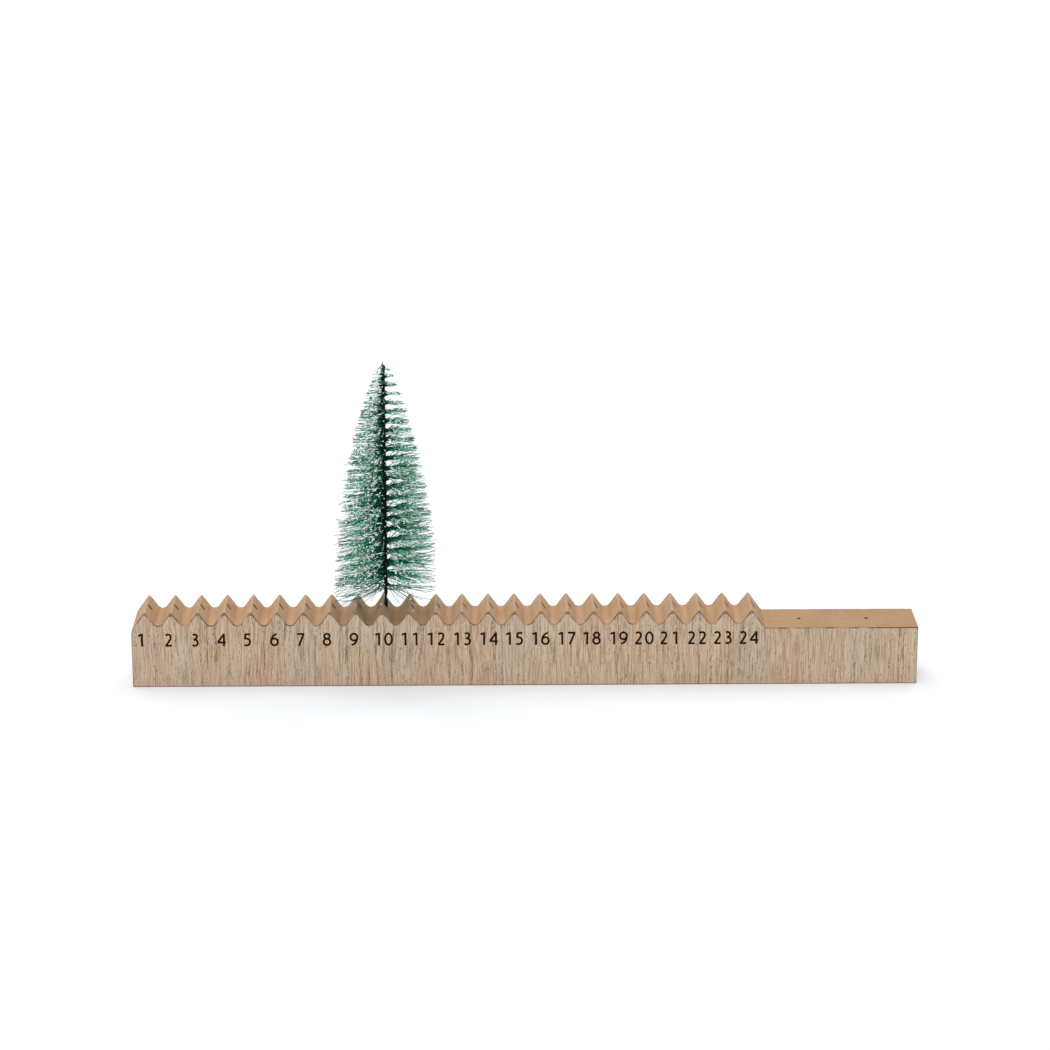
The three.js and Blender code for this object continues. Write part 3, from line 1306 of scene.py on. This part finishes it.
@dataclass
class PrintedNumbers:
    """The numbers 1 to 24, one below each ridge, printed on the front veneer."""

    bar: Bar
    height: float = 8.5
    baseline: float = 27.4
    stroke: float = 1.34
    cell: float = 6.98
    film: float = 0.03
    film_share: float = 1.5
    merged: float = 1e-4
    drifts: tuple[float, ...] = (
        *(-3.05, -2.04, -1.67, -1.92, -2.17, -1.79, -1.71, -1.96, -1.56, 0.75, 0.2, 0.29),
        *(0.38, 0.48, -0.05, 0.05, -0.16, -1.0, -0.56, -1.08, -2.23, -1.15, -1.34, -1.52),
    )
    digits: tuple[tuple[Stroke, ...], ...] = (
        (ring((0.31, 0.5), (0.25, 0.442)),),
        (curved((0.03, 0.83), (0.17, 0.9), (0.3, 0.955)), straight((0.3, 1.0), (0.3, 0.0))),
        (
            curved(
                *((0.045, 0.86), (0.19, 0.942), (0.36, 0.905)),
                *((0.43, 0.74), (0.36, 0.51), (0.06, 0.06)),
            ),
            straight((0.015, 0.058), (0.5, 0.058)),
        ),
        (
            curved(
                *((0.05, 0.9), (0.2, 0.942), (0.35, 0.87)),
                *((0.365, 0.7), (0.26, 0.57), (0.12, 0.535)),
            ),
            curved(
                *((0.12, 0.535), (0.33, 0.49), (0.43, 0.32)),
                *((0.38, 0.13), (0.21, 0.056), (0.03, 0.095)),
            ),
        ),
        (
            straight((0.49, 0.955), (0.045, 0.33)),
            straight((0.01, 0.3), (0.62, 0.3)),
            straight((0.485, 1.0), (0.485, 0.0)),
        ),
        (
            straight((0.1, 0.942), (0.49, 0.942)),
            straight((0.13, 0.96), (0.085, 0.545)),
            curved(
                *((0.07, 0.585), (0.22, 0.6), (0.4, 0.51), (0.45, 0.32)),
                *((0.37, 0.12), (0.2, 0.056), (0.03, 0.095)),
            ),
        ),
        (
            curved((0.5, 0.955), (0.29, 0.85), (0.13, 0.65), (0.065, 0.38)),
            ring((0.31, 0.325), (0.25, 0.27)),
        ),
        (straight((0.0, 0.942), (0.545, 0.942)), straight((0.51, 0.96), (0.14, 0.0))),
        (ring((0.3, 0.75), (0.2, 0.195)), ring((0.3, 0.3), (0.243, 0.245))),
        (
            ring((0.305, 0.675), (0.25, 0.27)),
            curved((0.55, 0.62), (0.49, 0.34), (0.33, 0.14), (0.12, 0.045)),
        ),
    )

    def number(self, day: int) -> list[list[Point2]]:
        """One number.

        Args:
            day: The number.

        Returns:
            The pieces of its strokes in millimetres, in the plane of the veneer.
        """
        pieces, height = [], self.height
        for place, digit in enumerate(str(day)):
            strokes = self.digits[int(digit)]
            ribbons = [p for stroke in strokes for p in stroke.ribbon(self.stroke / height)]
            widest = max(x for piece in ribbons for x, _ in piece)
            lead = (self.cell - widest * height) / 2 + place * self.cell
            pieces += [[(lead + x * height, y * height) for x, y in piece] for piece in ribbons]
        xs = [x for piece in pieces for x, _ in piece]
        move = self.bar.ridge_x(day) + self.drifts[day - 1] - (min(xs) + max(xs)) / 2
        return [[(x + move, self.baseline + y) for x, y in piece] for piece in pieces]

    def build(self) -> None:
        """All numbers as one thin print."""
        shape = bmesh.new()
        y = self.bar.front - self.film
        for day in self.bar.days:
            corners = [Vector(point) for piece in self.number(day) for point in piece]
            faces = [list(range(first, first + 4)) for first in range(0, len(corners), 4)]
            found = geometry.delaunay_2d_cdt(corners, [], faces, 0, self.merged, True)
            points, triangles, sources = found[0], found[2], found[5]
            made = [shape.verts.new(Vector((x, y, z)) * MM) for x, z in points]
            for triangle, source in zip(triangles, sources):
                if source:
                    shape.faces.new([made[i] for i in triangle])
        loose = [vertex for vertex in shape.verts if not vertex.link_faces]
        bmesh.ops.delete(shape, geom=loose, context="VERTS")
        back = bmesh.ops.extrude_face_region(shape, geom=shape.faces[:])
        behind = [item for item in back["geom"] if isinstance(item, bmesh.types.BMVert)]
        thickness = Vector((0, self.film_share * self.film * MM, 0))
        bmesh.ops.translate(shape, verts=behind, vec=thickness)
        bmesh.ops.recalc_face_normals(shape, faces=shape.faces[:])
        mesh = bpy.data.meshes.new("printed_numbers")
        shape.to_mesh(mesh)
        shape.free()
        mesh.materials.append(InkFinish().material())
        new_piece("printed_numbers", mesh, Body.BAR, Slot.INK)


# Tree


@dataclass
class Stem:
    """Two wires twisted together to the left, and the direction of what they hold."""

    x: float
    foot: float
    base: float = 50
    height: float = 159
    wire_diameter: float = 1.2
    wire_spacing: float = 1.18
    foot_turn: float = 16.14
    top_turn: float = 11.14
    start_angle: float = math.radians(93)
    sides: int = 12
    steps_per_turn: int = 26
    taper: float = 5
    taper_radius: float = 0.5
    taper_spacing: float = 0.45
    domes: tuple[float, float] = (0.75, 0.25)
    cut: float = 2.2
    ahead: float = 0.1
    smooth: float = 50

    def angle(self, z: float) -> float:
        """Direction of the bristles at a height above the ridge line."""
        tightening = (1 / self.top_turn - 1 / self.foot_turn) / (2 * self.height)
        return self.start_angle - TURN * (z / self.foot_turn + z * z * tightening)

    def at(self, angle: float, out: float, z: float) -> Vector:
        """A point about the stem's axis, in the frame."""
        return Vector((self.x + out * math.cos(angle), out * math.sin(angle), self.base + z))

    def ring(self, z: float, radius: float, apart: float, side: int) -> list[Vector]:
        """One ring of points round a wire.

        Args:
            z: Its height above the ridge line.
            radius: Its radius.
            apart: The share of the wires' spacing there.
            side: 1 or -1, for the two wires.

        Returns:
            The ring's points.
        """
        turn, off = self.angle(z) + side * QUARTER, self.wire_spacing / 2 * apart
        centre = self.at(turn, off, z)
        further = self.at(self.angle(z + self.ahead) + side * QUARTER, off, z + self.ahead)
        along = (further - centre).normalized()
        out = Vector((math.cos(turn), math.sin(turn), 0))
        out = (out - along * out.dot(along)).normalized()
        across = along.cross(out)
        spins = [TURN * number / self.sides for number in range(self.sides)]
        return [centre + (out * math.cos(s) + across * math.sin(s)) * radius for s in spins]

    def build_wire(self, name: str, side: int, node: str) -> None:
        """One wire with cut, slightly domed ends.

        Args:
            name: The piece's name.
            side: 1 or -1, for the two wires.
            node: The frame's node that it stands for.
        """
        top = self.height - (self.cut if side < 0 else 0)
        turns = abs(self.angle(top) - self.angle(self.foot)) / TURN
        steps = round(turns * self.steps_per_turn)
        heights = [self.foot + (top - self.foot) * step / steps for step in range(steps + 1)]
        half, thin, close = self.wire_diameter / 2, self.taper_radius, self.taper_spacing
        low_dome, top_dome = (half * share for share in self.domes)
        places = [(heights[0], low_dome, 1.0)]
        for z in heights:
            pull = min(1.0, (self.height - z) / self.taper)
            places.append((z, half * (thin + (1 - thin) * pull), close + (1 - close) * pull))
        places.append((heights[-1], top_dome, close))
        points = [point for place in places for point in self.ring(*place, side)]
        caps = range(self.sides - 1, -1, -1), range(len(points) - self.sides, len(points))
        mesh = mesh_of(name, points, [*walls(self.sides, len(places)), *caps], WireFinish())
        smooth(mesh, self.smooth)
        new_piece(name, mesh, Body.TREE, Slot.WIRE, node)


@dataclass
class Strand:
    """One bristle: its centre line, its tint and how thick it is at the root."""

    path: list[Vector]
    tint: int
    thickness: float


@dataclass
class Brush:
    """The bristles: fine strands in the left-hand double spiral that the wires hold.

    The fullness is given for shares of the height, on the left and on the right, the tilts alike,
    as shares of a strand's length, and the parting for degrees off the front.
    """

    stem: Stem
    bare_stem: float = 8.7
    bare_tip: float = 1.0
    foot_reach: float = 32.5
    top_reach: float = 3.3
    foot_droop: float = 6.3
    lowest_tip: float = 1.6
    longest: float = 33.0
    crown: float = 5
    crown_droop: float = 0.95
    fullness: tuple[tuple[float, ...], ...] = (
        *((0.0, 0.44, 0.5), (0.06, 0.74, 0.8), (0.07, 0.6, 1.0), (0.1, 0.64, 1.04)),
        *((0.17, 0.74, 1.0), (0.3, 0.8, 0.98), (0.43, 0.84, 0.94), (0.56, 0.88, 0.9)),
        *((0.69, 0.82, 0.87), (0.81, 0.76, 0.88), (0.92, 0.62, 0.78), (1.0, 0.24, 0.52)),
    )
    parting: tuple[tuple[float, ...], ...] = (
        *((-180, 1.0), (-48, 1.1), (-26, 0.9), (-14, 0.4), (-8, 0.0)),
        *((9, 0.0), (16, 0.3), (28, 0.7), (42, 1.1), (180, 1.0)),
    )
    covered_from: float = 0.72
    tilts: tuple[tuple[float, ...], ...] = (
        *((0.0, 0.0, 0.0), (0.05, -0.02, 0.06), (0.1, -0.09, 0.18), (0.2, -0.12, 0.24)),
        *((0.4, -0.08, 0.12), (0.7, 0.0, 0.0), (1.0, 0.0, 0.0)),
    )
    clumps: int = 640
    clump_size: tuple[int, int] = (2, 5)
    clump_turn: float = 4
    left_turn: float = 9
    spreads: tuple[float, float, float] = (0.026, 0.03, 0.015)
    foot_clump_size: tuple[int, int] = (1, 2)
    loose_foot: float = 0.06
    loose_spread: float = 3.0
    dark_foot: float = 0.7
    strays: tuple[float, float] = (0.22, 0.2)
    stray_spread: float = 8.0
    long_stray: float = 1.06
    long_chance: float = 0.5
    own_lean: float = 0.01
    own_turn: float = 1.6
    own_root: float = 0.12
    own_length: float = 0.14
    own_tint: float = 0.12
    left_surplus: float = 0.3
    short_share: float = 0.13
    short_surplus: float = 2.6
    short_lengths: Span = (0.45, 0.85)
    groups: int = 4
    segments: int = 6
    sides: int = 3
    root_out: float = 0.25
    # the length from each strand's root that takes the painted shade at the start of the colour
    # chart
    root_zone: float = 2.0
    root_most: float = 0.25
    root_chart: float = 0.12
    chart_rim: float = 0.2
    chart_seam: float = 0.002
    chart_cap: float = 0.02
    thickness: float = 0.46
    thicknesses: Span = (0.8, 1.15)
    tip_share: float = 0.78
    tints: int = 8
    seed: int = 7
    strands: list[Strand] = field(default_factory=list)

    def share(self, z: float) -> float:
        """How far up the brush a height is, from 0 to 1."""
        return (z - self.bare_stem) / (self.stem.height - self.bare_tip - self.bare_stem)

    def reach(self, z: float) -> float:
        """How far bristles reach from the stem's axis: a parabola."""
        return self.top_reach + (self.foot_reach - self.top_reach) * (1 - self.share(z) ** 2)

    def crowding(self, z: float, turn: float) -> float:
        """How many of the clumps that could grow somewhere do grow there.

        Args:
            z: The height above the ridge line.
            turn: The direction.

        Returns:
            Their share: the table's for the left and the right side, less in the parting.
        """
        left, right = between(self.fullness, self.share(z))
        full = left + (right - left) * (1 + math.cos(turn)) / 2
        off_front = math.degrees(math.remainder(turn + QUARTER, TURN))
        parted = between(self.parting, off_front)[0]
        covered = max(0.0, self.share(z) - self.covered_from) / (1 - self.covered_from)
        return full * (parted + (1 - parted) * covered)

    def marks(self, length: float) -> list[tuple[float, float]]:
        """Where a strand has its points: shares of its length, and of its colour chart.

        Args:
            length: The strand's length.

        Returns:
            Each point's two shares.
        """
        first, chart = min(self.root_most, self.root_zone / length), self.root_chart
        rest = [step / (self.segments - 1) for step in range(self.segments)]
        return [(0.0, 0.0), *((first + (1 - first) * t, chart + (1 - chart) * t) for t in rest)]

    def strand(
        self,
        rng: random.Random,
        z: float,
        turn: float,
        length: float,
        lean: Sequence[float],
        shade: float,
    ) -> Strand:
        """One strand.

        Args:
            rng: Where its thickness comes from.
            z: The height of its root above the ridge line.
            turn: The direction that it grows in.
            length: How far it reaches.
            lean: How far its tip rises, bends aside and sags on its way, as shares of its length.
            shade: Its tint, from 0 to 1.

        Returns:
            The strand.
        """
        rise, bend, sag = (share * length for share in lean)
        rise -= self.foot_droop * (1 - self.share(z)) ** 3
        left, right = between(self.tilts, self.share(z))
        rise += length * (right if math.cos(turn) > 0 else left) * abs(math.cos(turn))
        in_crown = 1 - (self.stem.height - self.bare_tip - z) / self.crown
        rise -= self.crown_droop * length * min(1.0, max(0.0, in_crown))
        rise = max(rise, self.lowest_tip - z)
        out = Vector((math.cos(turn), math.sin(turn), 0))
        aside = Vector((-out.y, out.x, 0))
        root = self.stem.at(turn, self.root_out, z)
        path = []
        for t, _ in self.marks(length):
            lift = rise * t + sag * 4 * t * (1 - t)
            path.append(root + out * (length * t) + aside * (bend * t * t) + Vector((0, 0, lift)))
        tint = min(self.tints - 1, max(0, int(shade * self.tints)))
        return Strand(path, tint, self.thickness * rng.uniform(*self.thicknesses))

    def grow_clump(self, rng: random.Random, z: float, turn: float, leftness: float) -> None:
        """A clump of strands, some of which stray.

        Args:
            rng: Where its leanings come from.
            z: Its height above the ridge line.
            turn: The direction that it grows in.
            leftness: How far it points to the left, from 0 to 1.
        """
        up, (rise, bend, sag) = self.share(z), self.spreads
        lean = [rng.gauss(0, spread) for spread in (rise + rise * leftness, bend, sag)]
        chance = self.strays[0] + (self.strays[1] - self.strays[0]) * up
        low_right = max(0.0, math.cos(turn)) * (1 - up) ** 2
        short_chance = self.short_share * (1 + self.short_surplus * low_right)
        loose = up < self.loose_foot
        # most loose clumps at the foot take tint 0, which the bristle finish darkens as painted
        # shade
        shade = 0.0 if loose and rng.random() < self.dark_foot else rng.random()
        usual = self.loose_spread if loose else 1.0
        for _ in range(rng.randint(*(self.foot_clump_size if loose else self.clump_size))):
            stray = self.stray_spread if rng.random() < chance else usual
            root = z + rng.uniform(-self.own_root, self.own_root)
            length = self.reach(root) * (1 - self.own_length * rng.random() ** 2)
            if stray == self.stray_spread and rng.random() < self.long_chance:
                length *= self.long_stray
            if rng.random() < short_chance:
                length *= rng.uniform(*self.short_lengths)
            own = [share + rng.gauss(0, self.own_lean * stray) for share in lean]
            way = turn + rng.gauss(0, math.radians(self.own_turn) * stray)
            low_left = max(0.0, -math.cos(way)) * (1 - self.share(root)) ** 2
            length = min(length, self.longest) + self.left_surplus * low_left
            tint = shade + rng.gauss(0, self.own_tint) * (shade > 0)
            self.strands.append(self.strand(rng, root, way, length, own, tint))

    def grow(self) -> None:
        """Works out every strand, clump by clump on both sides of the stem."""
        rng = random.Random(self.seed)
        brush_height = self.stem.height - self.bare_tip - self.bare_stem
        for number in range(self.clumps):
            z = self.bare_stem + brush_height * (number + rng.random()) / self.clumps
            for side in (0, 1):
                turn = self.stem.angle(z) + side * math.pi
                leftness = max(0.0, -math.cos(turn))
                turn += rng.gauss(0, math.radians(self.clump_turn + self.left_turn * leftness))
                if rng.random() <= self.crowding(z, turn):
                    self.grow_clump(rng, z, turn, leftness)

    def ring(self, strand: Strand, number: int) -> list[Vector]:
        """The points round one place of a strand's path.

        Args:
            strand: The strand.
            number: The place's number.

        Returns:
            The ring's points.
        """
        path, last = strand.path, len(strand.path) - 1
        run = (path[min(last, number + 1)] - path[max(0, number - 1)]).normalized()
        across = run.cross(Vector((0, 0, 1))).normalized()
        up = across.cross(run)
        radius = strand.thickness / 2 * (1 - (1 - self.tip_share) * number / last)
        spins = [TURN * side / self.sides for side in range(self.sides)]
        return [path[number] + (across * math.cos(s) + up * math.sin(s)) * radius for s in spins]

    def group_mesh(self, name: str, strands: Sequence[Strand]) -> bpy.types.Mesh:
        """A mesh of three-sided tapered strands.

        Args:
            name: The mesh's name.
            strands: The strands that it holds.

        Returns:
            The mesh, with the attributes "along" and "tint" and a map for the bake.
        """
        points, faces, along, tint, spots = [], [], [], [], []
        charts = [chart for _, chart in self.marks(self.foot_reach)]
        cap, rim, seam = self.chart_cap, self.chart_rim, self.chart_seam
        for strand in strands:
            first = len(points)
            for number, chart in enumerate(charts):
                points += self.ring(strand, number)
                along += [chart] * self.sides
                tint += [strand.tint / (self.tints - 1)] * self.sides
            low, high = ((strand.tint + part) / self.tints for part in (rim, 1 - rim))
            for start, end in zip(charts, charts[1:]):
                t, u = start + seam, end - seam
                spots += [(t, low), (t, high), (u, high), (u, low)] * self.sides
            faces += walls(self.sides, len(charts), first)
            end = len(points) - self.sides
            faces += [(first + 2, first + 1, first), (end, end + 1, end + 2)]
            spots += [(0.0, low), (cap, low), (0.0, high), (1.0, low), (1 - cap, low), (1.0, high)]
        mesh = bpy.data.meshes.new(name)
        mesh.from_pydata([point * MM for point in points], [], faces)
        carry(mesh, "along", along)
        carry(mesh, "tint", tint)
        chart = mesh.uv_layers.new(name="OFBake")
        chart.data.foreach_set("uv", [value for spot in spots for value in spot])
        mesh.materials.append(BristleFinish().material())
        mesh.shade_smooth()
        return mesh

    def build(self) -> None:
        """All the bristles, in four pieces from the foot to the top."""
        self.grow()
        size = math.ceil(len(self.strands) / self.groups)
        for group in range(self.groups):
            name = f"brush_{group + 1}"
            mesh = self.group_mesh(name, self.strands[group * size : (group + 1) * size])
            new_piece(name, mesh, Body.TREE, Slot.BRISTLE, f"bristles_{group + 1}")


# Snow


@dataclass
class Snow:
    """Small white granules that cling to the tree, and the few that fell on the ridges."""

    bar: Bar
    brush: Brush
    count: int = 3000
    radii: Span = (0.42, 0.68)
    fineness: int = 1
    fallen_fineness: int = 2
    right_share: float = 0.68
    short_powers: tuple[float, float] = (0.35, 0.7)
    behind_from: float = 3
    behind_share: float = 0.25
    clear_stem: float = 1.6
    front_y: float = -4
    front_places: Span = (0.5, 0.999)
    side_places: Span = (0.28, 0.84)
    lowest: float = 10
    seat: tuple[float, float, float] = (0, -0.95, 0.45)
    stem_turn: float = 50
    stem_out: float = 1.5
    stem_radii: Span = (0.45, 0.66)
    fallen_lift: float = 1.2
    stretches: Span = (0.85, 1.15)
    dent_offsets: Span = (0, 50)
    dent: float = 0.14
    dent_scale: float = 1.3
    seed: int = 31
    on_stem: tuple[float, ...] = (
        *(14.0, 18.5, 33.6, 43.9, 51.5, 55.0, 64.1, 67.1, 70.0, 76.9, 88.1, 92.0, 94.3, 99.2),
        *(101.7, 107.8, 113.0, 121.0, 126.4, 132.3, 136.0, 139.2, 143.1, 146.9),
    )
    fallen: tuple[tuple[float, float, float], ...] = (
        *((-102.3, 13.25, 0.75), (-115.2, 16.6, 0.5), (-107.9, -4.25, 0.45), (-91.6, -2.0, 0.6)),
        *((-71.9, 15.6, 0.6), (-71.4, -9.75, 0.5), (-112.6, 15.8, 0.4)),
    )

    def granules(
        self, spots: Sequence[tuple[Vector, float]], rng: random.Random, fineness: int
    ) -> bpy.types.Mesh:
        """One mesh of dented little balls.

        Args:
            spots: Each granule's centre and radius.
            rng: Where their dents come from.
            fineness: How often a ball's faces are divided.

        Returns:
            The mesh.
        """
        ball = bmesh.new()
        bmesh.ops.create_icosphere(ball, subdivisions=fineness, radius=1.0)
        ways = [vertex.co.copy() for vertex in ball.verts]
        corners = [[vertex.index for vertex in face.verts] for face in ball.faces]
        ball.free()
        points, faces = [], []
        for centre, radius in spots:
            stretch = Vector([rng.uniform(*self.stretches) for _ in range(3)])
            offset = Vector([rng.uniform(*self.dent_offsets) for _ in range(3)])
            faces += [[len(points) + index for index in face] for face in corners]
            for way in ways:
                size = 1 + self.dent * noise.noise(way * self.dent_scale + offset)
                out = Vector([w * s for w, s in zip(way, stretch)])
                points.append(centre + out * radius * size)
        mesh = mesh_of("granules", points, faces, SnowFinish())
        mesh.shade_smooth()
        return mesh

    def cling(self, rng: random.Random) -> list[tuple[Vector, float]]:
        """A granule on a strand.

        Args:
            rng: Where its place and radius come from.

        Returns:
            Its centre and radius, or nothing if that place stays clear.
        """
        stem = self.brush.stem
        path = self.brush.strands[rng.randrange(len(self.brush.strands))].path
        places = self.front_places if path[-1].y < self.front_y else self.side_places
        place = rng.uniform(*places) * (len(path) - 1)
        start = int(place)
        on = path[start].lerp(path[start + 1], place - start)
        length_share = (path[-1] - path[0]).length / self.brush.foot_reach
        left_power, right_power = self.short_powers
        if on.x > stem.x:
            chance = self.right_share * length_share**right_power
        else:
            chance = length_share**left_power
        chance *= 1.0 if on.y < self.behind_from else self.behind_share
        clear = abs(on.x - stem.x) > self.clear_stem
        if rng.random() < chance and clear and on.z > stem.base + self.lowest:
            radius = rng.uniform(*self.radii)
            return [(on + Vector(self.seat) * radius, radius)]
        return []

    def build(self) -> None:
        """The snow on the tree and on the bar."""
        rng = random.Random(self.seed)
        spots = []
        while len(spots) < self.count:
            spots += self.cling(rng)
        for z in self.on_stem:
            turn = math.radians(-90 + rng.uniform(-self.stem_turn, self.stem_turn))
            centre = self.brush.stem.at(turn, self.stem_out, z)
            spots.append((centre, rng.uniform(*self.stem_radii)))
        mesh = self.granules(spots, rng, self.fineness)
        new_piece("snow_on_tree", mesh, Body.TREE, Slot.SNOW)
        rested = [
            (Vector((x, y, self.bar.surface(x) + radius * self.fallen_lift)), radius)
            for x, y, radius in self.fallen
        ]
        mesh = self.granules(rested, rng, self.fallen_fineness)
        new_piece("fallen_snow", mesh, Body.BAR, Slot.SNOW)


# Studio


@dataclass(frozen=True)
class Lamp:
    """A distant soft lamp: the side that it is on, how bright white looks in it, and its spread."""

    name: str
    side: tuple[float, float, float]
    level: float
    spread: float


@dataclass
class Studio:
    """The floor, the light and the camera at the photograph's viewing angle."""

    camera_place: tuple[float, float, float] = (-28.09, -1999.80, 746.66)
    yaw: float = math.radians(0.80665)
    tilt: float = math.radians(17.87517)
    focal_pixels: float = 3313.23
    frame_pixels: float = 1050
    sensor: float = 36
    clip: Span = (0.05, 50)
    floor_size: float = 9000
    sky: float = 0.34
    lamps: tuple[Lamp, ...] = (
        Lamp("key", (-0.09, 0.1, 0.99), 0.335, 44),
        Lamp("left_rim", (-0.44, 0.6, 0.66), 0.162, 38),
        Lamp("right_rim", (0.44, 0.6, 0.66), 0.168, 38),
        Lamp("fill", (-0.2, -0.9, 0.3), 0.52, 70),
    )

    def build_floor(self) -> None:
        """A wide white floor."""
        half = self.floor_size / 2
        corners = [(-half, -half, 0), (half, -half, 0), (half, half, 0), (-half, half, 0)]
        mesh = mesh_of("floor", corners, [(0, 1, 2, 3)], FloorFinish())
        floor = bpy.data.objects.new("floor", mesh)
        bpy.context.scene.collection.objects.link(floor)

    def build_light(self) -> None:
        """A soft key from above, two rims from behind, a fill from the front, and a surround."""
        scene = bpy.context.scene
        scene.view_settings.view_transform = "Standard"
        scene.world = bpy.data.worlds.new("white_surround")
        bench = Bench(scene.world)
        strength = self.sky + bench.looked_at() * (1 - self.sky)
        sky = bench.add("ShaderNodeBackground", None, {"Color": WHITE, "Strength": strength})
        bench.add("ShaderNodeOutputWorld", None, {"Surface": sky})
        for lamp in self.lamps:
            light = bpy.data.lights.new(lamp.name, "SUN")
            light.angle, light.energy = math.radians(lamp.spread), lamp.level * math.pi
            placed = bpy.data.objects.new(lamp.name, light)
            scene.collection.objects.link(placed)
            placed.rotation_euler = (-Vector(lamp.side)).to_track_quat("-Z", "Y").to_euler()

    def build_camera(self) -> None:
        """The camera, where the photograph was taken from."""
        data = bpy.data.cameras.new("camera")
        data.sensor_width = self.sensor
        data.lens = self.focal_pixels / self.frame_pixels * self.sensor
        data.clip_start, data.clip_end = self.clip
        camera = bpy.data.objects.new("camera", data)
        bpy.context.scene.collection.objects.link(camera)
        flat = math.cos(self.tilt)
        view = Vector((math.sin(self.yaw) * flat, math.cos(self.yaw) * flat, -math.sin(self.tilt)))
        camera.location = Vector(self.camera_place) * MM
        camera.rotation_euler = view.to_track_quat("-Z", "Y").to_euler()
        bpy.context.scene.camera = camera

    def build(self) -> None:
        """The whole studio."""
        self.build_floor()
        self.build_light()
        self.build_camera()


def main() -> None:
    """Builds the calendar in order."""
    logging.basicConfig(level=logging.INFO, format="%(name)s %(message)s")
    tree_day, stem_foot = 10, -13.5
    Studio().build()
    bar = Bar()
    bar.build()
    PrintedNumbers(bar).build()
    stem = Stem(bar.socket_x(tree_day), stem_foot)
    stem.build_wire("wire_a", 1, "stem_wire_a")
    stem.build_wire("wire_b", -1, "stem_wire_b")
    brush = Brush(stem)
    brush.build()
    Snow(bar, brush).build()


if __name__ == "__main__":
    main()
